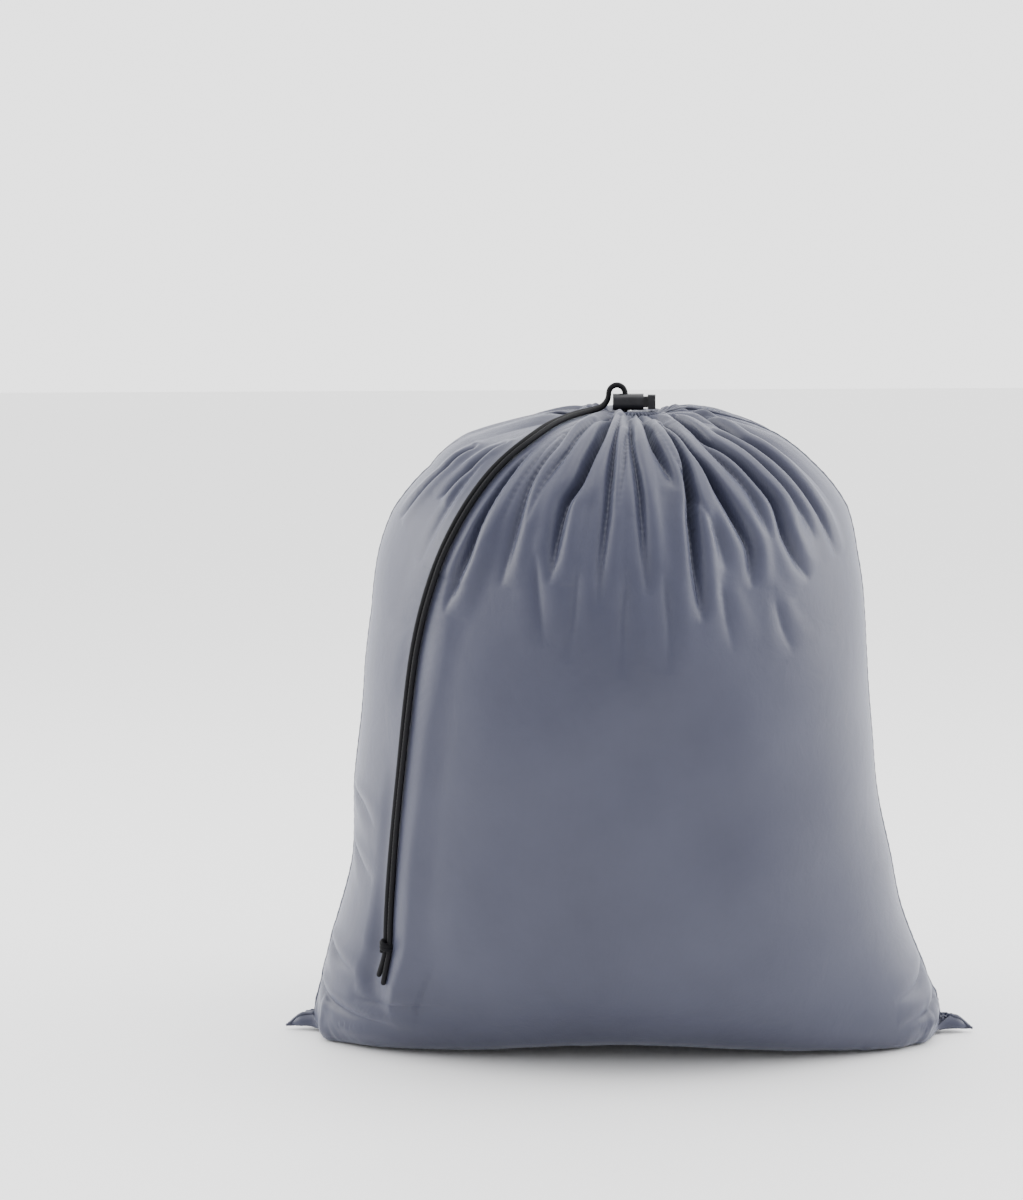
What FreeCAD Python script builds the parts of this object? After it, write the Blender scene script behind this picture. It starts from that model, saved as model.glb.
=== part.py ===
import FreeCAD, Part

import math
import os
import Sketcher
from FreeCAD import Placement, Rotation, Vector

# A drawstring laundry bag of thin cloth, stuffed full, pulled shut and standing on its base.
# X runs across the bag, the front faces -Y and Z is up; the origin is on the floor under its middle.
# The cloth is two panels that lie flat at 560 by 710 mm, sewn together at both sides and the bottom.

doc = FreeCAD.newDocument("LaundryBag")
sheet = doc.addObject("Spreadsheet::Sheet", "Dimensions")
nodes = []

# ---------------------------------------------------------------- driving dimensions

DIMENSIONS = [
    ("wall", 1.2, "modelled thickness of the cloth"),
    ("seam_half", 0.6, "half the thickness of a sewn seam allowance"),
    ("seam_width", 10.0, "width of the seam allowance inside the bag"),
    ("thread_width", 0.8, "width of a line of stitches"),
    ("thread_height", 0.5, "how far a line of stitches stands off the cloth"),
    ("thread_inset", 6.0, "distance of the stitches from the seam's raw edge"),
    ("ear_reach", 258.0, "half the length of the bottom seam, ear tip to middle"),
    ("mouth_x", 4.0, "the mouth's centre is a little right of the middle"),
    ("hem_outer", 22.0, "outer radius of the gathered hem"),
    ("hem_inner", 8.0, "radius of the hole left in the gathered mouth"),
    ("hem_low", 453.5, "underside of the gathered hem"),
    ("hem_high", 465.5, "top of the gathered hem"),
    ("hem_sweep", 175.0, "angle that one half of the hem covers"),
    ("slot_half", 5.2, "half the length of the slot that the cord leaves by"),
    ("slot_reach", 11.0, "how far the slot reaches from the mouth's centre"),
    ("slot_low", 457.8, "bottom of the slot"),
    ("buttonhole_rim", 1.6, "width of the worked edge round the slot"),
    ("buttonhole_height", 0.6, "thickness of the worked edge"),
    ("cord_radius", 2.0, "the drawcord is 4 mm thick"),
    ("cord_ring", 14.5, "radius of the cord inside the gathered hem"),
    ("cord_ring_z", 459.5, "height of the cord inside the gathered hem"),
    ("cord_ring_end", 120.0, "angle at which the cord starts to leave the hem"),
    ("lock_end", -10.0, "closed end of the cord lock"),
    ("lock_axis", 472.7, "height of the cord lock's axis"),
    ("lock_length", 22.5, "length of the cord lock's body"),
    ("lock_width", 17.4, "width of the cord lock's body"),
    ("lock_tall", 11.8, "height of the cord lock's body"),
    ("lock_rounding", 4.6, "rounding of the lock body's long edges"),
    ("lock_wall", 1.4, "thickness of the lock body's closed end"),
    ("bore_width", 13.6, "width of the plunger's bore"),
    ("bore_tall", 8.4, "height of the plunger's bore"),
    ("slide_gap", 0.25, "clearance of the plunger on each side"),
    ("hole_start", 4.2, "near edge of the lock's cord hole, from the closed end"),
    ("hole_length", 7.1, "length of the lock's cord hole"),
    ("hole_width", 9.0, "width of the lock's cord hole"),
    ("press_travel", 2.5, "how far the plunger is pressed in"),
    ("stem_start", 5.4, "inner end of the plunger, from the closed end"),
    ("head_start", 25.6, "underside of the plunger's head, from the closed end"),
    ("head_length", 5.6, "thickness of the plunger's head"),
    ("head_width", 15.8, "width of the plunger's head"),
    ("head_tall", 10.4, "height of the plunger's head"),
    ("spring_radius", 2.6, "mean radius of the lock's spring"),
    ("spring_wire", 0.4, "thickness of the spring's wire"),
    ("spring_turns", 3.0, "turns of the spring"),
    ("knot_across", 7.0, "half the knot's width"),
    ("knot_deep", 4.6, "half the knot's depth"),
    ("knot_tall", 5.6, "half the knot's height"),
    ("knot_facing", 43.4, "turn of the knot, so that it faces away from the cloth"),
]

# The wall's outline at each station, from the bottom seam (0) to the gathered hem: the height of the
# side seam, how far it stands left and right, the height of the cloth at the middle of the panel and
# how far that stands out, and the edge exponent: 2 where the sides are pinched, 1 where they are round.
STATIONS = [
    (0.0, 258.0, 258.0, 0.0, 0.6, 2.0),
    (11.0, 247.0, 246.0, 1.6, 60.0, 2.0),
    (22.0, 239.0, 237.0, 4.2, 113.0, 1.9),
    (36.0, 233.0, 229.0, 18.0, 141.0, 1.8),
    (58.0, 226.0, 219.0, 48.0, 154.0, 1.6),
    (96.0, 216.0, 206.0, 94.0, 161.0, 1.3),
    (155.0, 206.0, 193.0, 155.0, 165.0, 1.1),
    (245.0, 199.0, 181.0, 245.0, 166.0, 1.0),
    (330.0, 188.0, 174.0, 330.0, 163.0, 1.0),
    (393.0, 173.0, 162.0, 391.0, 150.0, 1.0),
    (426.0, 149.0, 140.0, 424.0, 128.0, 1.0),
    (446.0, 126.0, 115.0, 444.0, 104.0, 1.0),
    (456.0, 92.0, 88.0, 455.0, 78.0, 1.0),
    (460.3, 52.0, 55.0, 460.0, 47.0, 1.0),
    (462.0, 18.3, 26.3, 462.0, 22.3, 1.0),
]
STATION_ALIASES = ("side_height", "left_reach", "right_reach", "middle_height", "depth", "pinch")


def fill_sheet():
    """Writes every driving dimension into the sheet, as a plain number with an alias."""
    rows = list(DIMENSIONS)
    for number, station in enumerate(STATIONS):
        for name, value in zip(STATION_ALIASES, station):
            rows.append((f"{name}_{number:02d}", value, f"station {number}"))
    for row, (alias, value, note) in enumerate(rows, start=1):
        sheet.set(f"A{row}", note)
        sheet.set(f"B{row}", str(value))
        sheet.setAlias(f"B{row}", alias)
    doc.recompute()


def size(alias):
    """A driving dimension, read back from the sheet."""
    return float(getattr(sheet, alias))


def bind(target, **expressions):
    """Binds properties of an object to expressions of the sheet's cells."""
    for path, expression in expressions.items():
        target.setExpression(path.replace("__", "."), expression)


def cells(text):
    """Turns a short formula of aliases, each marked with $, into an expression."""
    return text.replace("$", "Dimensions.")


def keep(item, name):
    """Names an object as a sub-part of the bag."""
    item.Label = name
    nodes.append(item)
    return item


def feature(name, shape):
    """A sub-part whose shape is worked out here rather than by a feature."""
    item = doc.addObject("Part::Feature", name)
    item.Shape = shape
    item.Placement = Placement()
    return keep(item, name)


# ---------------------------------------------------------------- the cloth wall

def station_values(number):
    return [size(f"{name}_{number:02d}") for name in STATION_ALIASES]


def moved_in(points, distance):
    """Moves an open outline sideways by a distance, to the left of its own direction."""
    moved = []
    for number, point in enumerate(points):
        before = points[max(number - 1, 0)]
        after = points[min(number + 1, len(points) - 1)]
        along = (after - before).normalize()
        moved.append(point + Vector(-along.y, along.x, 0) * distance)
    return moved


def outlines(inset):
    """The left, right and middle outlines as (reach, height) points, moved inward by inset."""
    values = [station_values(number) for number in range(len(STATIONS))]
    left = moved_in([Vector(row[1], row[0], 0) for row in values], inset)
    right = moved_in([Vector(row[2], row[0], 0) for row in values], inset)
    middle = moved_in([Vector(row[4], row[3], 0) for row in values], inset)
    half = size("seam_half")
    if inset:
        # the cut edges of both walls stay in the seam's plane and in the hem's
        middle[0] = Vector(half, inset, 0)
        left[0].y = right[0].y = inset
    return left, right, middle, [row[5] for row in values]


def wall_surface(inset):
    """A smooth surface through the front panel's stations, moved inward by inset."""
    left, right, middle, pinches = outlines(inset)
    half = size("seam_half")
    rows = []
    for lside, rside, mid, pinch in zip(left, right, middle, pinches):
        centre = (rside.x - lside.x) / 2
        reach = (rside.x + lside.x) / 2
        row = []
        for step in range(-6, 7):
            angle = math.radians(15 * step)
            swell = max(math.cos(angle), 0.0)
            side = rside.y if step > 0 else lside.y
            row.append(Vector(
                centre + reach * math.sin(angle),
                -(half + (mid.x - half) * swell ** pinch),
                side + (mid.y - side) * swell ** 2))
        rows.append(row)
    surface = Part.BSplineSurface()
    surface.interpolate(rows)
    return surface


LEFT, RIGHT = 2, 3


def border(surface):
    """The four border edges of a surface: bottom, top, LEFT and RIGHT."""
    low_u, high_u, low_v, high_v = surface.bounds()
    curves = (surface.uIso(low_u), surface.uIso(high_u), surface.vIso(low_v), surface.vIso(high_v))
    return [curve.toShape() for curve in curves]


def panel_solid():
    """The front panel: an outer and an inner skin joined along their four borders."""
    outer = wall_surface(0.0)
    inner = wall_surface(size("wall"))
    faces = [outer.toShape(), inner.toShape()]
    for outer_edge, inner_edge in zip(border(outer), border(inner)):
        faces.append(Part.makeRuledSurface(outer_edge, inner_edge))
    shell = Part.makeShell(faces)
    shell.sewShape()
    solid = Part.makeSolid(shell)
    if solid.Volume < 0:
        solid.reverse()
    return solid


def panels():
    front = panel_solid()
    feature("front_panel", front)
    feature("back_panel", front.mirror(Vector(0, 0, 0), Vector(0, 1, 0)))


# ---------------------------------------------------------------- seams and their stitches

def strip(side, near, far, low, thickness):
    """A flat band between two insets of the wall's side border, standing on y = low."""
    edges = [border(wall_surface(inset))[side] for inset in (near, far)]
    face = Part.makeRuledSurface(*edges)
    face.translate(Vector(0, low + size("seam_half"), 0))
    return face.extrude(Vector(0, thickness, 0))


def bottom_allowance(width, half):
    """The bottom seam's allowance: a low band whose ends slope with the ears."""
    left, right = outlines(0.0)[:2]
    share = width / left[1].y
    outline = [
        Vector(-left[0].x, -half, 0), Vector(right[0].x, -half, 0),
        Vector(right[0].x + (right[1].x - right[0].x) * share, -half, width),
        Vector(-left[0].x - (left[1].x - left[0].x) * share, -half, width),
    ]
    return Part.Face(Part.makePolygon(outline + outline[:1])).extrude(Vector(0, 2 * half, 0))


def seams():
    half, width, reach = size("seam_half"), size("seam_width"), size("ear_reach")
    inset, thread, height = size("thread_inset"), size("thread_width"), size("thread_height")
    corner = Part.makeBox(3 * reach, 4 * width, 5 * width, Vector(-1.5 * reach, -2 * width, -4 * width))
    mouth = Part.makeCylinder(size("hem_outer") + 2, width, Vector(size("mouth_x"), 0, size("hem_low") - 2))
    for side, name in ((LEFT, "left"), (RIGHT, "right")):
        allowance = strip(side, 0.0, width, -half, 2 * half)
        feature(f"{name}_side_seam", allowance.cut(corner))
        line = strip(side, inset, inset + thread, half, height)
        feature(f"{name}_seam_thread", line.cut(corner).cut(mouth))
    feature("bottom_seam", bottom_allowance(width, half))
    run = 2 * (reach - 4 * width)
    feature("bottom_seam_thread", Part.makeBox(run, height, thread, Vector(-run / 2, half, inset)))


# ---------------------------------------------------------------- PartDesign helpers

def plane_of(body, role):
    return next(item for item in body.Origin.OriginFeatures if item.Role == role)


def new_body(name):
    return keep(doc.addObject("PartDesign::Body", name), name)


def new_sketch(body, name, role, lift=None):
    """A sketch on one of the body's own planes, lifted along that plane's normal."""
    sketch = body.newObject("Sketcher::SketchObject", name)
    sketch.AttachmentSupport = [(plane_of(body, role), "")]
    sketch.MapMode = "FlatFace"
    if lift:
        sketch.setExpression(".AttachmentOffset.Base.z", cells(lift))
    return sketch


def add_rectangle(sketch, low_u, high_u, low_v, high_v):
    """A rectangle whose four sides are held at distances from the origin by formulas of aliases."""
    first = sketch.GeometryCount
    corners = [Vector(*pair, 0) for pair in ((-9, -9), (9, -9), (9, 9), (-9, 9))]
    for number in range(4):
        sketch.addGeometry(Part.LineSegment(corners[number], corners[(number + 1) % 4]), False)
    for number in range(4):
        following = first + (number + 1) % 4
        sketch.addConstraint(Sketcher.Constraint("Coincident", first + number, 2, following, 1))
        direction = "Vertical" if number % 2 else "Horizontal"
        sketch.addConstraint(Sketcher.Constraint(direction, first + number))
    held = (("DistanceX", 0, low_u), ("DistanceY", 0, low_v), ("DistanceX", 2, high_u), ("DistanceY", 2, high_v))
    for kind, edge, formula in held:
        value = 9.0 if edge else -9.0
        number = sketch.addConstraint(Sketcher.Constraint(kind, -1, 1, first + edge, 1, value))
        sketch.setExpression(f"Constraints[{number}]", cells(formula))


def add_pad(body, name, sketch, length):
    pad = body.newObject("PartDesign::Pad", name)
    pad.Profile = sketch
    pad.setExpression("Length", cells(length))
    return pad


def add_pocket(body, name, sketch, length=None, reversed_way=True):
    """A pocket of one length, or through the whole body both ways."""
    before = body.Shape.Volume
    pocket = body.newObject("PartDesign::Pocket", name)
    pocket.Profile = sketch
    if length:
        pocket.Reversed = reversed_way
        pocket.setExpression("Length", cells(length))
    else:
        pocket.Type = "ThroughAll"
        pocket.Midplane = True
    doc.recompute()
    if body.Shape.Volume > before - 1:
        raise RuntimeError(f"{name} cuts nothing")
    return pocket


# ---------------------------------------------------------------- the gathered hem

def hem_half(name, side):
    """Half of the hem's channel: a hollow ring, notched on the inside where the cord comes out."""
    body = new_body(name)
    section = new_sketch(body, f"{name}_section", "YZ_Plane")
    add_rectangle(section, "-$hem_outer", "-$hem_inner", "$hem_low", "$hem_high")
    add_rectangle(section, "-$hem_outer + $wall", "-$hem_inner - $wall", "$hem_low + $wall",
                  "$hem_high - $wall")
    ring = body.newObject("PartDesign::Revolution", f"{name}_ring")
    ring.Profile = section
    ring.ReferenceAxis = (section, ["V_Axis"])
    ring.Midplane = True
    ring.setExpression("Angle", cells("$hem_sweep"))
    doc.recompute()
    slot = new_sketch(body, f"{name}_slot_outline", "XY_Plane", "$slot_low")
    ends = ("-$slot_reach", "0") if side < 0 else ("0", "$slot_reach")
    add_rectangle(slot, *ends, "-$slot_half", "$slot_half")
    add_pocket(body, f"{name}_slot", slot, "$hem_high - $slot_low + 1")
    body.setExpression(".Placement.Base.x", cells("$mouth_x"))
    if side > 0:
        body.Placement.Rotation = Rotation(Vector(0, 0, 1), 180)


def box(name, **expressions):
    """A Part::Box: length, width, height and the x, y, z of its low corner, as formulas."""
    item = doc.addObject("Part::Box", name)
    for key, formula in expressions.items():
        path = f".Placement.Base.{key}" if key in "xyz" else key.capitalize()
        item.setExpression(path, cells(formula))
    return item


def cut(name, base, tool):
    item = doc.addObject("Part::Cut", name)
    item.Base, item.Tool = base, tool
    return keep(item, name)


def hem_trim():
    tacks = []
    for name, start in (("left_tack", "$mouth_x - $hem_outer + 0.5"),
                        ("right_tack", "$mouth_x + $hem_outer - 4.5")):
        tacks.append(box(name, length="4", width="2 * $seam_half", height="$hem_high - $hem_low - 2",
                         x=start, y="-$seam_half", z="$hem_low + 1"))
    group = doc.addObject("Part::Compound", "hem_bartacks")
    group.Links = tacks
    keep(group, "hem_bartacks")

    outer = box("buttonhole_outside", length="$slot_reach + $buttonhole_rim - 6.5",
                width="2 * ($slot_half + $buttonhole_rim)", height="$buttonhole_height",
                x="$mouth_x - $slot_reach - $buttonhole_rim", y="-$slot_half - $buttonhole_rim",
                z="$hem_high")
    inner = box("buttonhole_inside", length="$slot_reach", width="2 * $slot_half",
                height="3 * $buttonhole_height", x="$mouth_x - $slot_reach", y="-$slot_half",
                z="$hem_high - $buttonhole_height")
    cut("cord_exit_buttonhole", outer, inner)

    thread = doc.addObject("Part::Torus", "hem_thread")
    bind(thread, Radius1=cells("$hem_outer - 1.5"), Radius2=cells("$thread_height / 2"))
    thread.setExpression(".Placement.Base.x", cells("$mouth_x"))
    thread.setExpression(".Placement.Base.z", cells("$hem_high + $thread_height / 2"))
    keep(thread, "hem_thread")


# ---------------------------------------------------------------- the drawcord

# The routes of the two strands, from the hem through the lock, over in a tight fold and down the
# front to the knot, and of the two tails below it.
STRAND_FRONT = [
    (-3.25, -12.557, 459.5), (-8.1, -9.757, 459.5), (-9.4, -5, 459.8), (-5, -2.4, 460.9),
    (-1, -2.2, 465.2), (-1, -2.1, 473.2), (-1, -2.2, 482.4), (-7, -2.1, 485.9), (-13, -2.1, 482.4),
    (-13.2, -2.1, 474.8), (-17.2, -3, 469), (-24, -7.4, 467), (-32.5, -18.5, 465.5),
    (-42, -37.5, 463.5), (-53, -64.5, 459.5), (-66, -88, 451), (-81, -99, 440),
    (-94.5, -106.5, 426.5), (-108, -113.5, 408.5), (-119, -118, 390), (-129, -118.5, 370),
    (-136, -117, 350), (-143, -114.5, 326.5), (-149, -113, 298.5), (-154, -112.5, 260.5),
    (-159, -109, 219.5), (-164, -103, 178), (-167.5, -98.5, 140.5), (-170, -95, 109.5),
    (-170.9, -93.2, 90),
]
STRAND_REAR = [
    (-3.25, 12.557, 459.5), (-8.1, 9.757, 459.5), (-9.4, 5, 459.8), (-5, 2.4, 460.9),
    (-1, 2.2, 465.2), (-1, 2.1, 473.2), (-1, 2.2, 482.4), (-7, 2.1, 485.9), (-13, 2.1, 482.4),
    (-13.2, 2.1, 474.8), (-18.4, 1.4, 468.8), (-27, -3.4, 467), (-36.5, -16.5, 465.5),
    (-46, -35.5, 463), (-57, -62.5, 459.5), (-69.5, -85.5, 451.5), (-83.5, -96, 441),
    (-97.5, -103.5, 427.5), (-111, -110.5, 409.5), (-122, -115, 391), (-131.5, -115.5, 371),
    (-139, -114, 351), (-146, -111.5, 327.5), (-152, -109.5, 299.5), (-157, -109, 261.5),
    (-161.5, -106, 220.5), (-166.5, -100, 179), (-170.5, -95.5, 141.5), (-173, -92, 110.5),
    (-173.9, -90, 90.5),
]
KNOT = (-172.4, -91.4, 86.5)
TAIL_FRONT = [(-170.8, -93.0, 83.0), (-174.6, -88.4, 70.0), (-177.4, -81.5, 56.5)]
TAIL_REAR = [(-174.0, -89.9, 83.0), (-177.2, -85.2, 72.5), (-180.8, -78.5, 62.0)]


def rounded_route(points, name):
    """Straight runs joined by tangent arcs, each as large as its two runs allow."""
    edges, radii = [], []
    start = points[0]
    for number in range(1, len(points) - 1):
        before = points[number - 1] - points[number]
        after = points[number + 1] - points[number]
        half_turn = (math.pi - before.getAngle(after)) / 2
        reach = 0.45 * min(before.Length, after.Length)
        radii.append(reach / math.tan(half_turn))
        before.normalize()
        after.normalize()
        entry = points[number] + before * reach
        leave = points[number] + after * reach
        inward = (before + after).normalize()
        middle = (points[number] + inward * (math.hypot(reach, radii[-1]) - radii[-1]))
        edges.append(Part.LineSegment(start, entry).toShape())
        edges.append(Part.Arc(entry, middle, leave).toShape())
        start = leave
    edges.append(Part.LineSegment(start, points[-1]).toShape())
    print(name, "radii", [round(radius, 1) for radius in radii])
    return Part.Wire(edges)


def tube(name, route):
    """A cord's tube along a route, its volume compared with its section times its length."""
    radius = size("cord_radius")
    points = [Vector(*point) for point in route]
    path = rounded_route(points, name)
    section = Part.Wire(Part.makeCircle(radius, points[0], points[1] - points[0]))
    solid = path.makePipeShell([section], True, False)
    expected = math.pi * radius ** 2 * path.Length
    if abs(solid.Volume / expected - 1) > 0.005:
        raise RuntimeError(f"{name} is folded onto itself")
    print(name, "length", round(path.Length, 1))
    feature(name, solid)


def drawcord():
    ring = doc.addObject("Part::Torus", "drawcord_in_hem")
    bind(ring, Radius1=cells("$cord_ring"), Radius2=cells("$cord_radius"),
         Angle3=cells("2 * $cord_ring_end"))
    ring.setExpression(".Placement.Base.x", cells("$mouth_x"))
    ring.setExpression(".Placement.Base.z", cells("$cord_ring_z"))
    ring.Placement.Rotation = Rotation(Vector(0, 0, 1), -size("cord_ring_end"))
    keep(ring, "drawcord_in_hem")
    tube("drawcord_strand_front", STRAND_FRONT)
    tube("drawcord_strand_rear", STRAND_REAR)
    tube("cord_tail_front", TAIL_FRONT)
    tube("cord_tail_rear", TAIL_REAR)

    knot = doc.addObject("Part::Ellipsoid", "cord_knot")
    bind(knot, Radius1=cells("$knot_tall"), Radius2=cells("$knot_deep"), Radius3=cells("$knot_across"))
    knot.Placement = Placement(Vector(*KNOT), Rotation(Vector(0, 0, 1), size("knot_facing")))
    keep(knot, "cord_knot")


# ---------------------------------------------------------------- the cord lock

def lock_section(body, name, width, tall, lift=None):
    """A rectangle across the lock's axis."""
    sketch = new_sketch(body, name, "YZ_Plane", lift)
    add_rectangle(sketch, f"-{width} / 2", f"{width} / 2", f"$lock_axis - {tall} / 2",
                  f"$lock_axis + {tall} / 2")
    return sketch


def cord_hole(body, name, start):
    """The cord hole, cut down through the body at a distance from the lock's closed end."""
    sketch = new_sketch(body, f"{name}_outline", "XY_Plane", "$lock_axis")
    add_rectangle(sketch, start, f"{start} + $hole_length", "-$hole_width / 2", "$hole_width / 2")
    add_pocket(body, name, sketch)


def round_long_edges(body, name, base, radius):
    """Rounds the edges of a feature that run along the lock's axis."""
    doc.recompute()
    long_edges = []
    for number, edge in enumerate(base.Shape.Edges, start=1):
        along = edge.Vertexes[-1].Point - edge.Vertexes[0].Point
        if abs(along.x) > 1 and abs(along.x) > 0.99 * along.Length:
            long_edges.append(f"Edge{number}")
    fillet = body.newObject("PartDesign::Fillet", name)
    fillet.Base = (base, long_edges)
    fillet.setExpression("Radius", cells(radius))


def lock_body():
    body = new_body("cord_lock_body")
    outside = lock_section(body, "lock_outside", "$lock_width", "$lock_tall")
    block = add_pad(body, "lock_block", outside, "$lock_length")
    round_long_edges(body, "lock_rounded", block, "$lock_rounding")
    doc.recompute()
    bore = lock_section(body, "lock_bore_outline", "$bore_width", "$bore_tall", "$lock_wall")
    add_pocket(body, "lock_bore", bore, "$lock_length")
    cord_hole(body, "lock_cord_hole", "$hole_start")
    body.setExpression(".Placement.Base.x", cells("$lock_end"))


def lock_plunger():
    body = new_body("cord_lock_plunger")
    stem = lock_section(body, "stem_outline", "($bore_width - 2 * $slide_gap)",
                        "($bore_tall - 2 * $slide_gap)", "$stem_start")
    add_pad(body, "stem", stem, "$head_start - $stem_start")
    doc.recompute()
    head = lock_section(body, "head_outline", "$head_width", "$head_tall", "$head_start")
    add_pad(body, "head", head, "$head_length")
    doc.recompute()
    cord_hole(body, "plunger_slot", "$hole_start + $press_travel")
    body.setExpression(".Placement.Base.x", cells("$lock_end"))


def lock_spring():
    helix = doc.addObject("Part::Helix", "spring_line")
    room = "($stem_start - $lock_wall - $spring_wire - 0.1)"
    bind(helix, Radius=cells("$spring_radius"), Pitch=cells(f"{room} / $spring_turns"),
         Height=cells(room))
    wire = doc.addObject("Part::Circle", "spring_wire_section")
    bind(wire, Radius=cells("$spring_wire / 2"))
    wire.setExpression(".Placement.Base.x", cells("$spring_radius"))
    wire.Placement.Rotation = Rotation(Vector(1, 0, 0), 90)
    doc.recompute()
    coil = doc.addObject("Part::Sweep", "cord_lock_spring")
    coil.Sections = [wire]
    coil.Spine = (helix, ["Edge1"])
    coil.Solid = True
    coil.Frenet = True
    coil.Placement.Rotation = Rotation(Vector(0, 1, 0), 90)
    coil.setExpression(".Placement.Base.x", cells("$lock_end + $lock_wall + $spring_wire / 2 + 0.05"))
    coil.setExpression(".Placement.Base.z", cells("$lock_axis"))
    keep(coil, "cord_lock_spring")


# ---------------------------------------------------------------- build, check and write

def check():
    """Stops unless every object recomputed well and every sub-part is a sound solid."""
    for item in doc.Objects:
        if "Invalid" in item.State or "Error" in item.State:
            raise RuntimeError(f"{item.Label} failed: {item.State}")
    for item in nodes:
        shape = item.Shape
        if shape.isNull() or not shape.isValid() or not shape.Solids:
            raise RuntimeError(f"{item.Label} is not a sound solid")
        print(item.Label, len(shape.Solids), "solid(s)", round(shape.Volume, 1), "mm3")


def write():
    os.makedirs("parts", exist_ok=True)
    for item in nodes:
        item.Shape.exportStep(f"parts/{item.Label}.step")


fill_sheet()
panels()
seams()
hem_half("hem_channel_front", -1)
hem_half("hem_channel_back", 1)
hem_trim()
drawcord()
lock_body()
lock_plunger()
lock_spring()
doc.recompute()
check()
write()
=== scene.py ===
"""The visual model of a drawstring laundry bag, standing full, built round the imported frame."""

import math

import bpy
import numpy as np
from mathutils import Matrix, Vector


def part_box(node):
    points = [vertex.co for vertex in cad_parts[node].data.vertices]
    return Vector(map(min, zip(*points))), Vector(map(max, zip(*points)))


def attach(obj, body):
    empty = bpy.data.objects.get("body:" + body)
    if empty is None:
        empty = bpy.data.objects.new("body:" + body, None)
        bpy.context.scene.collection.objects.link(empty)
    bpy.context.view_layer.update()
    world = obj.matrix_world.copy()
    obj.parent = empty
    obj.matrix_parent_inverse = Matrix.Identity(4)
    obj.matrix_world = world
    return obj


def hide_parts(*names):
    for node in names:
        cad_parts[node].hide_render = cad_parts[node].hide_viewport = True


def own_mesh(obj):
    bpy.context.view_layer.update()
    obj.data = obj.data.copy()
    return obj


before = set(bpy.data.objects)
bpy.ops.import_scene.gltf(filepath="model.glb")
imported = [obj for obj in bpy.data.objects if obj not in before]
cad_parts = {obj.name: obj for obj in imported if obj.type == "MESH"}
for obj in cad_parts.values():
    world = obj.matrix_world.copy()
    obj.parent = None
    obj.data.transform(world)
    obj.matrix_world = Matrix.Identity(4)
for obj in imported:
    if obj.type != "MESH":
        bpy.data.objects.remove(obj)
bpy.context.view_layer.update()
TAU = 2 * math.pi

# ---------------------------------------------------------------- the shape of the full bag

FLAT_WIDTH, FLAT_HEIGHT = 0.56, 0.71   # one panel as it is cut
HEM_TAKE = 0.025                       # of the height, the part that the hem turns over
COLUMNS = 96                           # cloth quads across one panel
FRAMES = 26
EAR_REACH = 0.258
MOUTH = Vector((0.004, 0, 0.461))
MOUTH_RADIUS, RUFFLE = 0.0185, 0.004
PLEATS, FINE_PLEATS = 20, 44

# The laundry inside: height, reach to the left and right, depth, squareness (mm).
STUFFING = np.array([
    (4, 229, 227, 82, 2.4), (12, 231, 229, 93, 2.45), (24, 230, 228, 104, 2.35),
    (45, 225, 219, 123, 2.18), (70, 218, 210, 138, 2.1), (100, 210, 200, 149, 2.06),
    (134, 203, 193, 155, 2.05), (190, 199, 182, 161, 2.04), (245, 195, 177, 165, 2.03),
    (300, 190, 174.5, 165, 2.02), (335, 185, 171.5, 161, 2.0), (370, 177, 164, 154, 2.0),
    (405, 163, 153, 143, 2.0), (430, 140, 131, 125, 2.0), (446, 110, 103, 98, 2.0),
    (453, 70, 70, 64, 2.0), (455, 20, 28, 20, 2.0),
], float)


def ring_at(level, theta):
    """A level line round the laundry, for level from 0 at the base to 1 at the top."""
    steps = np.linspace(0, 1, len(STUFFING))
    high, left, right, deep, square = (np.interp(level, steps, column) for column in STUFFING.T)
    sine, cosine, power = np.sin(theta), np.cos(theta), 2 / square
    across = (right - left) / 2 + (right + left) / 2 * np.sign(sine) * abs(sine) ** power
    depth = -deep * np.sign(cosine) * abs(cosine) ** power
    return np.stack([across, depth, np.full_like(theta, high)], -1) / 1000


def even_angles(count, level=0.5):
    theta = np.linspace(-math.pi / 2, 1.5 * math.pi, 1441)
    points = ring_at(level, theta)
    run = np.concatenate([[0], np.cumsum(np.linalg.norm(np.diff(points, axis=0), axis=1))])
    return np.interp(np.linspace(0, run[-1], count + 1)[:-1], run, theta)


def resample(points, count):
    run = np.concatenate([[0], np.cumsum(np.linalg.norm(np.diff(points, axis=0), axis=1))])
    where = np.linspace(0, run[-1], count)
    return np.stack([np.interp(where, run, points[:, axis]) for axis in range(3)], -1)


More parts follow.
